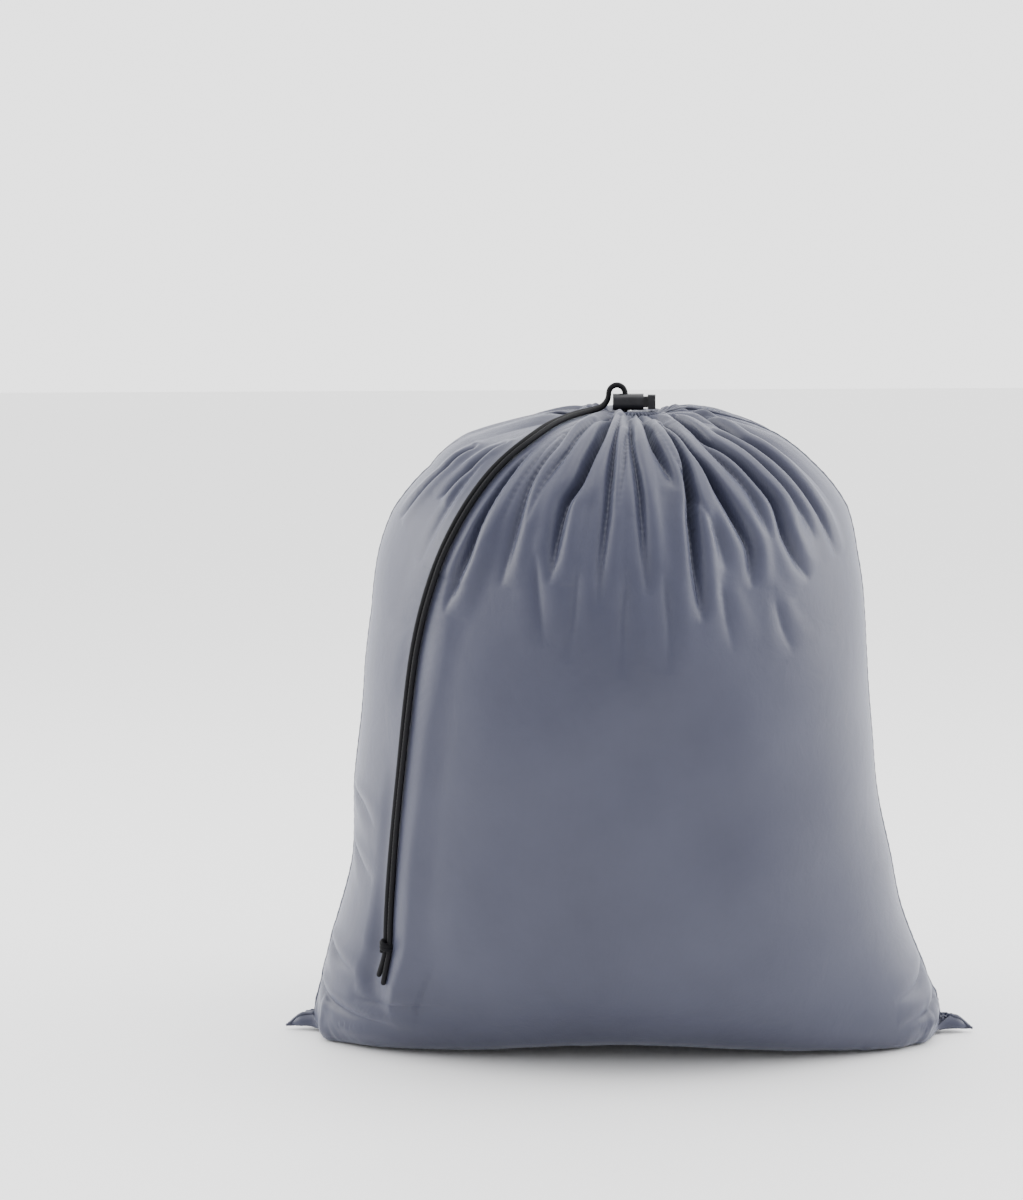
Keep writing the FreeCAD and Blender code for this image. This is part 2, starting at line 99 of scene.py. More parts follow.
def start_shape():
    """The cloth before it settles: two panels round the laundry, in even pleats, and flat."""
    around = 2 * COLUMNS
    step = FLAT_WIDTH / COLUMNS
    rows = int(round((FLAT_HEIGHT - HEM_TAKE) / step))
    theta = even_angles(around)
    across = np.array([min(c, around - c) for c in range(around)]) * step - FLAT_WIDTH / 2
    seam = np.stack([across * EAR_REACH * 2 / FLAT_WIDTH, 0 * across, 0 * across + 0.002], -1)
    levels = [ring_at(level, theta) for level in np.linspace(0, 1, 90)]
    direction = np.stack([np.sin(theta), -np.cos(theta), 0 * theta], -1)
    top = np.array(MOUTH) + direction * MOUTH_RADIUS
    stack = np.stack([seam, *levels, top])
    grid = np.stack([resample(stack[:, c], rows + 1) for c in range(around)], 1)
    share = np.arange(around) / around
    draw = np.random.default_rng(4).uniform(-0.5, 0.5, 4)
    wander = 0.35 * np.sin(TAU * (3 * share + draw[0])) + 0.25 * np.sin(TAU * (5 * share + draw[1]))
    wave = np.cos(TAU * (PLEATS * share + wander))
    fine_wave = np.cos(TAU * FINE_PLEATS * share)
    along = np.roll(grid, -1, 1) - np.roll(grid, 1, 1)
    normal = np.cross(along, np.gradient(grid, axis=0))
    normal /= np.maximum(np.linalg.norm(normal, axis=2, keepdims=True), 1e-9)
    for row in range(1, rows):
        length = np.linalg.norm(np.roll(grid[row], -1, 0) - grid[row], axis=1).sum()
        spare = 2 * FLAT_WIDTH / length
        wave_number = TAU * PLEATS / length
        height = min(math.sqrt(max(spare ** 2 - 1, 0) * 2) / wave_number, 0.022)
        fine = min(max((row / rows - 0.90) / 0.08, 0), 1)
        out = height * (1 - fine) * 0.9 * (wave + 1) + fine * 0.006 * (fine_wave + 1) + 0.002
        grid[row] += normal[row] * out[:, None]
    grid[..., 2] = np.maximum(grid[..., 2], 0.003)
    flat = np.zeros_like(grid)
    flat[..., 0] = across
    flat[..., 1] = np.where((np.arange(around) > COLUMNS), 0.0005, -0.0005)
    flat[..., 2] = (np.arange(rows + 1) * step)[:, None]
    return grid, flat, fine_wave


def grid_faces(rows, around, index):
    return [[index[r, c], index[r, (c + 1) % around], index[r + 1, (c + 1) % around], index[r + 1, c]]
            for r in range(rows) for c in range(around)]


def new_mesh(name, points, faces):
    mesh = bpy.data.meshes.new(name)
    mesh.from_pydata([tuple(p) for p in points], [], [list(map(int, f)) for f in faces])
    mesh.update()
    return mesh


def new_object(name, data):
    item = bpy.data.objects.new(name, data)
    bpy.context.scene.collection.objects.link(item)
    return item


def settle(grid, flat, fine_wave):
    """Lets the cloth fall round the laundry as its mouth is drawn in, and returns where it rests."""
    rows, around = grid.shape[0] - 1, grid.shape[1]
    index = np.arange((rows + 1) * around).reshape(rows + 1, around)
    for c in range(COLUMNS + 1, around):
        index[0, c] = index[0, around - c]
    faces = grid_faces(rows, around, index)
    used = np.unique(faces)
    place = np.full((rows + 1) * around, 0)
    place[used] = np.arange(len(used))
    sack = new_object("sack", new_mesh("sack", grid.reshape(-1, 3)[used], place[np.array(faces)]))
    sack.shape_key_add(name="Basis")
    drawn = sack.shape_key_add(name="Drawn")
    theta = np.arange(around) / around * TAU - math.pi / 2
    for c, point in enumerate(place[index[rows]]):
        radius = MOUTH_RADIUS + RUFFLE * fine_wave[c]
        drawn.data[point].co = MOUTH + Vector((math.sin(theta[c]), -math.cos(theta[c]), 0)) * radius
    laid = sack.shape_key_add(name="Flat")
    laid.data.foreach_set("co", flat.reshape(-1, 3)[used].astype(np.float32).ravel())
    drawn.value = 0
    drawn.keyframe_insert("value", frame=1)
    drawn.value = 1
    drawn.keyframe_insert("value", frame=15)
    pin = sack.vertex_groups.new(name="pin")
    pin.add([int(i) for i in np.unique(place[index[[0, rows]]])], 1.0, "REPLACE")
    cloth = sack.modifiers.new("Cloth", "CLOTH")
    set_up = cloth.settings
    set_up.quality, set_up.mass, set_up.air_damping = 5, 0.10, 1.0
    set_up.tension_stiffness = set_up.compression_stiffness = 30
    set_up.shear_stiffness, set_up.bending_stiffness = 10, 0.3
    set_up.tension_damping = set_up.compression_damping = set_up.shear_damping = 2
    set_up.bending_damping = 0.5
    set_up.vertex_group_mass = "pin"
    set_up.rest_shape_key = laid
    set_up.use_pressure, set_up.uniform_pressure_force = True, 0.5
    cloth.collision_settings.distance_min = 0.0015
    cloth.collision_settings.collision_quality = 2
    cloth.collision_settings.friction = 5
    cloth.point_cache.frame_end = FRAMES + 5

    body_rows, body_around = 90, 120
    angles = even_angles(body_around)
    shell = np.concatenate([ring_at(level, angles) for level in np.linspace(0, 1, body_rows + 1)])
    body_index = np.arange(len(shell)).reshape(body_rows + 1, body_around)
    body_faces = grid_faces(body_rows, body_around, body_index)
    body_faces += [list(body_index[-1]), list(body_index[0][::-1])]
    laundry = new_object("laundry", new_mesh("laundry", shell, body_faces))
    smooth = laundry.modifiers.new("smooth", "SMOOTH")
    smooth.iterations, smooth.factor = 6, 0.5
    ground = new_object("ground", new_mesh("ground", [(-2, -2, 0), (2, -2, 0), (2, 2, 0), (-2, 2, 0)],
                                           [(0, 1, 2, 3)]))
    for item, outside in ((laundry, 0.002), (ground, 0.001)):
        item.modifiers.new("collision", "COLLISION")
        item.collision.thickness_outer = outside
        item.collision.cloth_friction = 5
    laundry.collision.thickness_inner = 0.05
    for number in range(1, FRAMES + 1):
        bpy.context.scene.frame_set(number)
    settled = sack.evaluated_get(bpy.context.evaluated_depsgraph_get())
    points = np.zeros(len(used) * 3)
    settled.data.vertices.foreach_get("co", points)
    points = points.reshape(-1, 3)
    bpy.context.scene.frame_set(1)
    for item in (sack, laundry, ground):
        bpy.data.objects.remove(item)
    return points[place[index]]


# ---------------------------------------------------------------- the drawcord's routes (m)

STRAND_FRONT = [
    (-3.25, -12.557, 459.5), (-8.1, -9.757, 459.5), (-9.4, -5, 459.8), (-5, -2.4, 460.9),
    (-1, -2.2, 465.2), (-1, -2.1, 473.2), (-1, -2.2, 482.4), (-7, -2.1, 485.9), (-13, -2.1, 482.4),
    (-13.2, -2.1, 474.8), (-17.2, -3, 469), (-24, -7.4, 467), (-32.5, -18.5, 465.5),
    (-42, -37.5, 463.5), (-53, -64.5, 459.5), (-66, -88, 451), (-81, -99, 440),
    (-94.5, -106.5, 426.5), (-108, -113.5, 408.5), (-119, -118, 390), (-129, -118.5, 370),
    (-136, -117, 350), (-143, -114.5, 326.5), (-149, -113, 298.5), (-154, -112.5, 260.5),
    (-159, -109, 219.5), (-164, -103, 178), (-167.5, -98.5, 140.5), (-170, -95, 109.5),
    (-170.9, -93.2, 90), (-170.8, -93.4, 83.0), (-173.8, -92.8, 70.5), (-176.4, -89.5, 57.0),
]
STRAND_REAR = [
    (-3.25, 12.557, 459.5), (-8.1, 9.757, 459.5), (-9.4, 5, 459.8), (-5, 2.4, 460.9),
    (-1, 2.2, 465.2), (-1, 2.1, 473.2), (-1, 2.2, 482.4), (-7, 2.1, 485.9), (-13, 2.1, 482.4),
    (-13.2, 2.1, 474.8), (-18.4, 1.4, 468.8), (-27, -3.4, 467), (-36.5, -16.5, 465.5),
    (-46, -35.5, 463), (-57, -62.5, 459.5), (-69.5, -85.5, 451.5), (-83.5, -96, 441),
    (-97.5, -103.5, 427.5), (-111, -110.5, 409.5), (-122, -115, 391), (-131.5, -115.5, 371),
    (-139, -114, 351), (-146, -111.5, 327.5), (-152, -109.5, 299.5), (-157, -109, 261.5),
    (-161.5, -106, 220.5), (-166.5, -100, 179), (-170.5, -95.5, 141.5), (-173, -92, 110.5),
    (-173.9, -90, 90.5), (-174.0, -90.4, 83.0), (-176.6, -89.8, 72.5), (-180.0, -86.2, 62.5),
]
KNOT = Vector((-0.1724, -0.0914, 0.0865))
CORD_RADIUS = 0.002


def spline_points(route, step, name="route"):
    """The line of a NURBS spline whose control points are the route's, at even steps (m)."""
    curve = bpy.data.curves.new(name, "CURVE")
    curve.dimensions = "3D"
    curve.resolution_u = 24
    spline = curve.splines.new("NURBS")
    spline.points.add(len(route) - 1)
    for point, (x, y, z) in zip(spline.points, route):
        point.co = (x / 1000, y / 1000, z / 1000, 1)
    spline.order_u = 3
    spline.use_endpoint_u = True
    holder = new_object(name, curve)
    mesh = bpy.data.meshes.new_from_object(
        holder.evaluated_get(bpy.context.evaluated_depsgraph_get()))
    points = np.array([v.co[:] for v in mesh.vertices])
    bpy.data.objects.remove(holder)
    bpy.data.curves.remove(curve)
    bpy.data.meshes.remove(mesh)
    length = np.linalg.norm(np.diff(points, axis=0), axis=1).sum()
    return resample(points, max(int(length / step), 4)), length


def frames_along(path):
    """Two directions across the path at each of its points, turning as little as they can."""
    tangent = np.gradient(path, axis=0)
    tangent /= np.linalg.norm(tangent, axis=1, keepdims=True)
    side = np.zeros_like(path)
    first = np.cross(tangent[0], (0.0, 0.0, 1.0))
    if np.linalg.norm(first) < 0.1:
        first = np.cross(tangent[0], (0.0, 1.0, 0.0))
    side[0] = first / np.linalg.norm(first)
    for i in range(1, len(path)):
        turned = side[i - 1] - tangent[i] * side[i - 1].dot(tangent[i])
        side[i] = turned / np.linalg.norm(turned)
    return tangent, side, np.cross(tangent, side)


def tube_mesh(name, path, radius_at, sides, closed=False, caps=True):
    """A skin round the path; radius_at(run, angle, share) gives its radius at each point."""
    tangent, side, other = frames_along(path)
    run = np.concatenate([[0], np.cumsum(np.linalg.norm(np.diff(path, axis=0), axis=1))])
    angle = np.linspace(0, TAU, sides, endpoint=False)
    radius = radius_at(run[:, None], angle[None, :], (run / run[-1])[:, None])
    around = side[:, None] * np.cos(angle)[None, :, None] + other[:, None] * np.sin(angle)[None, :, None]
    points = (path[:, None] + around * radius[..., None]).reshape(-1, 3)
    count = len(path)
    index = np.arange(count * sides).reshape(count, sides)
    faces = grid_faces(count - 1, sides, index)
    if closed:
        faces += [[index[-1, c], index[-1, (c + 1) % sides], index[0, (c + 1) % sides], index[0, c]]
                  for c in range(sides)]
    elif caps:
        faces += [list(index[-1]), list(index[0][::-1])]
    return new_mesh(name, points, faces)


# ---------------------------------------------------------------- materials

def material(name, colour, roughness, **sockets):
    made = bpy.data.materials.new(name)
    made.use_nodes = True
    shader = made.node_tree.nodes["Principled BSDF"]
    shader.inputs["Base Color"].default_value = (*colour, 1)
    shader.inputs["Roughness"].default_value = roughness
    for key, value in sockets.items():
        shader.inputs[key.replace("_", " ")].default_value = value
    return made, made.node_tree.nodes, made.node_tree.links, shader


def add_node(nodes, kind, **values):
    item = nodes.new(kind)
    for key, value in values.items():
        if key in item.inputs:
            item.inputs[key].default_value = value
        else:
            setattr(item, key, value)
    return item


def ramp(nodes, links, source, low, high, start=0.3, end=0.7):
    item = nodes.new("ShaderNodeValToRGB")
    item.color_ramp.elements[0].position, item.color_ramp.elements[1].position = start, end
    item.color_ramp.elements[0].color = (*low, 1)
    item.color_ramp.elements[1].color = (*high, 1)
    links.new(source, item.inputs["Fac"])
    return item


def cloth_material():
    made, nodes, links, shader = material(
        "polyester_cloth", (0.16, 0.18, 0.27), 0.42, Sheen_Weight=0.30, Sheen_Roughness=0.35,
        Specular_IOR_Level=0.42)
    shader.inputs["Sheen Tint"].default_value = (0.80, 0.84, 1.0, 1)
    place = add_node(nodes, "ShaderNodeTexCoord")
    flat = add_node(nodes, "ShaderNodeUVMap", uv_map="flat")
    broad = add_node(nodes, "ShaderNodeTexNoise", Scale=9.0, Detail=4.0, Roughness=0.55)
    links.new(place.outputs["Object"], broad.inputs["Vector"])
    tint = ramp(nodes, links, broad.outputs["Fac"], (0.032, 0.035, 0.064), (0.047, 0.051, 0.085))
    threads = []
    for direction in ("X", "Y"):
        wave = add_node(nodes, "ShaderNodeTexWave", bands_direction=direction, Scale=420.0,
                        Distortion=0.6, Detail=1.0)
        links.new(flat.outputs["UV"], wave.inputs["Vector"])
        threads.append(wave)
    weave = add_node(nodes, "ShaderNodeMath", operation="ADD")
    links.new(threads[0].outputs["Fac"], weave.inputs[0])
    links.new(threads[1].outputs["Fac"], weave.inputs[1])
    half = add_node(nodes, "ShaderNodeMath", operation="MULTIPLY")
    half.inputs[1].default_value = 0.5
    links.new(weave.outputs[0], half.inputs[0])
    shade = add_node(nodes, "ShaderNodeMix", data_type="RGBA", blend_type="MULTIPLY")
    shade.inputs["Factor"].default_value = 0.22
    links.new(tint.outputs["Color"], shade.inputs["A"])
    links.new(half.outputs[0], shade.inputs["B"])
    links.new(shade.outputs["Result"], shader.inputs["Base Color"])
    crumple = add_node(nodes, "ShaderNodeTexNoise", Scale=38.0, Detail=5.0, Roughness=0.6, Distortion=0.4)
    links.new(place.outputs["Object"], crumple.inputs["Vector"])
    soft = add_node(nodes, "ShaderNodeBump", Strength=0.22, Distance=0.0022)
    links.new(crumple.outputs["Fac"], soft.inputs["Height"])
    fine = add_node(nodes, "ShaderNodeBump", Strength=0.25, Distance=0.0003)
    links.new(half.outputs[0], fine.inputs["Height"])
    links.new(soft.outputs["Normal"], fine.inputs["Normal"])
    links.new(fine.outputs["Normal"], shader.inputs["Normal"])
    gloss = add_node(nodes, "ShaderNodeMapRange")
    gloss.inputs["To Min"].default_value, gloss.inputs["To Max"].default_value = 0.33, 0.46
    links.new(broad.outputs["Fac"], gloss.inputs["Value"])
    links.new(gloss.outputs["Result"], shader.inputs["Roughness"])
    return made


def thread_material(name, low, high, scale, roughness=0.6, sheen=0.25, shine=0.4):
    """A yarn: its fibres twist along it, in two close colours."""
    made, nodes, links, shader = material(name, low, roughness, Sheen_Weight=sheen, Sheen_Roughness=0.5,
                                          Specular_IOR_Level=shine)
    place = add_node(nodes, "ShaderNodeTexCoord")
    fibres = add_node(nodes, "ShaderNodeTexNoise", Scale=scale, Detail=3.0, Roughness=0.7)
    links.new(place.outputs["Object"], fibres.inputs["Vector"])
    tint = ramp(nodes, links, fibres.outputs["Fac"], low, high)
    links.new(tint.outputs["Color"], shader.inputs["Base Color"])
    bump = add_node(nodes, "ShaderNodeBump", Strength=0.4, Distance=0.0002)
    links.new(fibres.outputs["Fac"], bump.inputs["Height"])
    links.new(bump.outputs["Normal"], shader.inputs["Normal"])
    return made


def plastic_material():
    made, nodes, links, shader = material("lock_plastic", (0.012, 0.012, 0.014), 0.34,
                                          Specular_IOR_Level=0.28)
    place = add_node(nodes, "ShaderNodeTexCoord")
    grain = add_node(nodes, "ShaderNodeTexNoise", Scale=1400.0, Detail=2.0, Roughness=0.5)
    links.new(place.outputs["Object"], grain.inputs["Vector"])
    wear = add_node(nodes, "ShaderNodeTexNoise", Scale=160.0, Detail=4.0, Roughness=0.6)
    links.new(place.outputs["Object"], wear.inputs["Vector"])
    tint = ramp(nodes, links, wear.outputs["Fac"], (0.010, 0.010, 0.012), (0.022, 0.022, 0.026))
    links.new(tint.outputs["Color"], shader.inputs["Base Color"])
    bump = add_node(nodes, "ShaderNodeBump", Strength=0.15, Distance=0.00008)
    links.new(grain.outputs["Fac"], bump.inputs["Height"])
    links.new(bump.outputs["Normal"], shader.inputs["Normal"])
    gloss = add_node(nodes, "ShaderNodeMapRange")
    gloss.inputs["To Min"].default_value, gloss.inputs["To Max"].default_value = 0.26, 0.45
    links.new(wear.outputs["Fac"], gloss.inputs["Value"])
    links.new(gloss.outputs["Result"], shader.inputs["Roughness"])
    return made


def steel_material():
    made, nodes, links, shader = material("spring_steel", (0.42, 0.42, 0.44), 0.3, Metallic=1.0)
    place = add_node(nodes, "ShaderNodeTexCoord")
    drawn = add_node(nodes, "ShaderNodeTexNoise", Scale=900.0, Detail=2.0)
    links.new(place.outputs["Object"], drawn.inputs["Vector"])
    tint = ramp(nodes, links, drawn.outputs["Fac"], (0.36, 0.36, 0.38), (0.52, 0.52, 0.53))
    links.new(tint.outputs["Color"], shader.inputs["Base Color"])
    return made


CLOTH = cloth_material()
THREAD = thread_material("sewing_thread", (0.085, 0.098, 0.155), (0.150, 0.168, 0.240), 2600.0)
CORD = thread_material("drawcord_yarn", (0.0022, 0.0022, 0.003), (0.008, 0.008, 0.010), 1500.0, 0.62, 0.0, 0.14)
PLASTIC = plastic_material()
STEEL = steel_material()


def piece(name, mesh, finish, slot, *nodes, body="bag"):
    item = new_object(name, mesh)
    mesh.materials.clear()
    mesh.materials.append(finish)
    mesh.polygons.foreach_set("use_smooth", [True] * len(mesh.polygons))
    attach(item, body)
    if nodes:
        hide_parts(*nodes)
    return item


# ---------------------------------------------------------------- the cords

def braid(run, angle, share):
    """A round braid: two sets of yarns wind opposite ways and pass over and under each other."""
    turn = TAU / 0.0125
    one = abs(np.cos(4 * angle + run * turn * 2.2))
    two = abs(np.cos(4 * angle - run * turn * 2.2))
    bumps = 0.87 + 0.13 * np.maximum(one, two) ** 2
    end = np.minimum((1 - share) / 0.004, 1)
    return CORD_RADIUS * bumps * np.sqrt(np.maximum(end * (2 - end), 0.02))


def strand(name, route, *nodes):
    path, length = spline_points(route, 0.0004, name)
    item = piece(name, tube_mesh(name, path, braid, 28), CORD, "drawcord", *nodes)
    return item, path, length


front_cord, front_path, front_length = strand(
    "drawcord_front", STRAND_FRONT, "drawcord_strand_front", "cord_tail_front")
rear_cord, rear_path, rear_length = strand(
    "drawcord_rear", STRAND_REAR, "drawcord_strand_rear", "cord_tail_rear")
HEM_ROUTE = [(4 + 14.5 * math.cos(math.radians(a)), 14.5 * math.sin(math.radians(a)), 459.5)
             for a in range(-120, 121, 20)]
hem_path, _ = spline_points(HEM_ROUTE, 0.0006)
hem_cord = piece("drawcord_inside_hem", tube_mesh("drawcord_inside_hem", hem_path, braid, 16),
                 CORD, "drawcord", "drawcord_in_hem")


def knot_route():
    """Two and a half wraps round both strands, with the crossing turn of an overhand knot."""
    turned = math.radians(43.4)
    route = []
    for number in range(27):
        part = number / 26
        angle = TAU * 2.5 * part
        across, deep = 5.0 * math.cos(angle), 2.7 * math.sin(angle)
        high = 3.3 - 6.6 * part + 1.2 * math.sin(angle)
        route.append((KNOT.x * 1000 + across * math.cos(turned) - deep * math.sin(turned),
                      KNOT.y * 1000 + across * math.sin(turned) + deep * math.cos(turned),
                      KNOT.z * 1000 + high))
    return route


knot_path, _ = spline_points(knot_route(), 0.0004)
knot = piece("cord_knot_wraps", tube_mesh("cord_knot_wraps", knot_path, braid, 28), CORD, "drawcord",
             "cord_knot")

# ---------------------------------------------------------------- the cloth

START, FLAT, FINE_WAVE = start_shape()
RESTING = settle(START, FLAT, FINE_WAVE)

# Half widths that the full bag has at each height: height, left, right (mm).
OUTLINE = np.array([
    (22, 236, 234), (62, 225, 218), (99, 215, 205), (134, 207, 197.5), (190, 203.6, 186),
    (238, 199.5, 180.5), (280, 196, 178.5), (321, 189.5, 175), (363, 184, 169.5), (395, 174, 162.5),
    (427, 150, 141), (447, 133, 118),
]) / 1000


def to_outline(points):
    """Widens or narrows the bag by height, so that its sides stand where they should."""
    levels = OUTLINE[:, 0]
    factors = []
    for side, column in ((-1, 1), (1, 2)):
        reach = [np.max(side * points[abs(points[:, 2] - level) < 0.007, 0]) for level in levels]
        factors.append(np.clip(OUTLINE[:, column] / np.array(reach), 0.9, 1.1))
    left, right = (np.interp(points[:, 2], np.concatenate([[0.004], levels, [0.458]]),
                             np.concatenate([[1], factor, [1]])) for factor in factors)
    moved = points.copy()
    blend = np.clip(abs(points[:, 0]) / 0.10, 0, 1)
    factor = np.where(points[:, 0] < 0, left, right)
    moved[:, 0] *= 1 + (factor - 1) * blend
    return moved


def lift_base(points):
    """The middle of the base stands a little clear of the floor."""
    moved = points.copy()
    middle = np.exp(-(points[:, 0] / 0.095) ** 2)
    out = np.clip((abs(points[:, 1]) - 0.02) / 0.06, 0, 1)
    low = np.clip(1 - points[:, 2] / 0.09, 0, 1) ** 1.5
    moved[:, 2] += 0.009 * middle * out * low
    return moved


def finer(points, around_closed=True):
    """One Catmull-Rom step each way on a grid of points."""
    def step(grid, axis, closed):
        grid = np.moveaxis(grid, axis, 0)
        if closed:
            before, after, beyond = np.roll(grid, 1, 0), np.roll(grid, -1, 0), np.roll(grid, -2, 0)
        else:
            padded = np.concatenate([2 * grid[:1] - grid[1:2], grid, 2 * grid[-1:] - grid[-2:-1]])
            before, after, beyond = padded[:-3], padded[2:-1], padded[3:]
            middle = (-before + 9 * grid[:-1] + 9 * after - beyond) / 16
            made = np.empty((len(grid) * 2 - 1, *grid.shape[1:]))
            made[0::2], made[1::2] = grid, middle
            return np.moveaxis(made, 0, axis)
        middle = (-before + 9 * grid + 9 * after - beyond) / 16
        made = np.empty((len(grid) * 2, *grid.shape[1:]))
        made[0::2], made[1::2] = grid, middle
        return np.moveaxis(made, 0, axis)
    return step(step(points, 1, around_closed), 0, False)


def beneath_cords(points, paths, reach=0.022):
    """Brings the cloth up or down to just under the cords where they lie on it."""
    moved = points.copy()
    for path in paths:
        on_bag = path[(path[:, 0] < -0.030) & (path[:, 2] > 0.05)][::6]
        outward = on_bag.copy()
        outward[:, 2] = np.where(on_bag[:, 2] > 0.36, (on_bag[:, 2] - 0.33) * 1.6, 0.0)
        outward /= np.linalg.norm(outward, axis=1, keepdims=True)
        near = np.where((moved[:, 1] < 0.02) & (moved[:, 0] < 0.0))[0]
        for chunk in np.array_split(near, max(len(near) // 3000, 1)):
            offset = moved[chunk][:, None] - on_bag[None]
            best = np.argmin((offset ** 2).sum(2), axis=1)
            away = offset[np.arange(len(chunk)), best]
            normal = outward[best]
            high = (away * normal).sum(1)
            sideways = np.linalg.norm(away - high[:, None] * normal, axis=1)
            wanted = -(CORD_RADIUS + 0.0009)
            wide = np.where(high > wanted, reach, 1.6 * reach)
            fall = np.clip(1 - np.maximum(sideways - 0.003, 0) / wide, 0, 1)
            fall = fall * fall * (3 - 2 * fall)
            change = np.where(high > wanted, wanted - high, np.minimum(wanted - high, 0.005) * 0.8)
            change = np.where(high < -0.02, 0, change)
            moved[chunk] += normal * (change * fall)[:, None]
    return moved


# Creases down the front from the drawn mouth: depth and half width of each, then its points (mm).
CREASES = [
    ((14, 3.3), (-10, -47, 460), (-18, -93, 450), (-26, -114, 436), (-33, -129, 421), (-42, -135, 411),
     (-49, -149, 382), (-53, -155, 354)),
    ((12.2, 3.7), (-67, -97, 440), (-80, -109, 424), (-93, -118, 407), (-102, -123, 391), (-109, -126, 375),
     (-118, -125, 354), (-126, -123, 331)),
    ((10.5, 3.1), (-88, -70, 448), (-111, -80, 431), (-135, -80, 409)),
    ((8.8, 3.1), (-111, -54, 444), (-134, -57, 426), (-150, -54, 410), (-164, -49, 392)),
    ((7, 2.9), (2, -64, 458), (4, -108, 441), (9, -137, 412), (12, -155, 373), (14, -160, 346)),
    ((12.2, 2.9), (12, -63, 458), (18, -97, 447), (26, -117, 432), (34, -131, 415)),
    ((15.8, 3.3), (23, -68, 457), (34, -100, 443), (42, -118, 428), (45, -139, 399), (49, -150, 365),
     (52, -154, 328)),
    ((14, 3.3), (27, -61, 458), (44, -101, 440), (61, -118, 420), (75, -127, 400), (87, -130, 379),
     (88, -137, 350)),
    ((14, 3.5), (33, -34, 461), (54, -78, 450), (75, -91, 437), (90, -100, 422), (104, -103, 407),
     (110, -111, 387), (119, -111, 368), (129, -105, 352)),
    ((8.8, 3.3), (46, -15, 461), (80, -63, 449), (116, -71, 426), (139, -76, 393), (151, -73, 365)),
    ((7, 2.8), (-5, -56, 459), (-10, -120, 432), (-14, -146, 399), (-18, -158, 366), (-20, -162, 339)),
    ((7, 3.1), (-27, -44, 460), (-47, -98, 444), (-67, -121, 418), (-79, -138, 385), (-88, -143, 351)),
    ((1.8, 4.6), (-62, -146, 372), (-60, -152, 346), (-56, -158, 312)),
    ((1.8, 4.6), (-34, -158, 366), (-36, -162, 336), (-40, -161, 300)),
    ((1.8, 4.6), (0, -161, 362), (-3, -164, 330), (-3, -165, 290)),
    ((1.8, 4.6), (26, -158, 360), (29, -161, 328), (28, -162, 294)),
    ((1.6, 4.6), (66, -148, 356), (70, -150, 330), (75, -150, 306)),
    ((1.4, 4.6), (104, -128, 340), (110, -128, 320), (118, -124, 302)),
    ((5, 2.6), (-22, -64, 457), (-40, -106, 440), (-58, -126, 420), (-70, -140, 396)),
    ((5, 2.6), (-44, -80, 452), (-62, -108, 436), (-78, -124, 414), (-92, -134, 384)),
    ((5, 2.6), (0, -90, 452), (-2, -126, 430), (-6, -148, 402)),
    ((5, 2.6), (18, -80, 454), (30, -110, 438), (44, -128, 416), (62, -138, 388), (70, -142, 362)),
    ((5, 2.6), (44, -76, 450), (66, -98, 434), (88, -112, 412), (100, -120, 382)),
    ((5, 2.6), (60, -60, 450), (90, -82, 434), (118, -90, 408), (134, -92, 378)),
    ((4, 2.8), (-96, -84, 440), (-118, -92, 418), (-132, -96, 392), (-144, -92, 362)),
    ((3.0, 4.0), (-226, -10, 75), (-215, -45, 66), (-200, -68, 60)),
    ((3.0, 4.0), (-230, -8, 45), (-220, -40, 34), (-200, -70, 26), (-170, -90, 22)),
    ((2.4, 5.0), (-205, -75, 42), (-170, -100, 37), (-130, -115, 40)),
    ((2.6, 4.6), (228, -10, 60), (215, -45, 48), (196, -72, 40)),
    ((3.0, 4.0), (232, -8, 36), (220, -42, 26), (200, -68, 20)),
    ((2.0, 4.0), (-205, -30, 190), (-196, -60, 182), (-186, -76, 170)),
    ((2.0, 4.0), (-208, -26, 150), (-200, -56, 138), (-190, -76, 130)),
]


def normals_of(grid):
    along = np.roll(grid, -1, 1) - np.roll(grid, 1, 1)
    normal = np.cross(along, np.gradient(grid, axis=0))
    return normal / np.maximum(np.linalg.norm(normal, axis=2, keepdims=True), 1e-9)


def relax(grid, rounds, strength):
    """Evens the cloth out; strength is one number a row."""
    moved = grid.copy()
    for _ in range(rounds):
        middle = (np.roll(moved, 1, 1) + np.roll(moved, -1, 1)) / 2
        middle[1:-1] = middle[1:-1] / 2 + (moved[:-2] + moved[2:])[:] / 4
        change = (middle - moved) * strength[:, None, None]
        change[0] = change[-1] = 0
        moved += change
    return moved


HIGHEST_FOLD = 0.0045


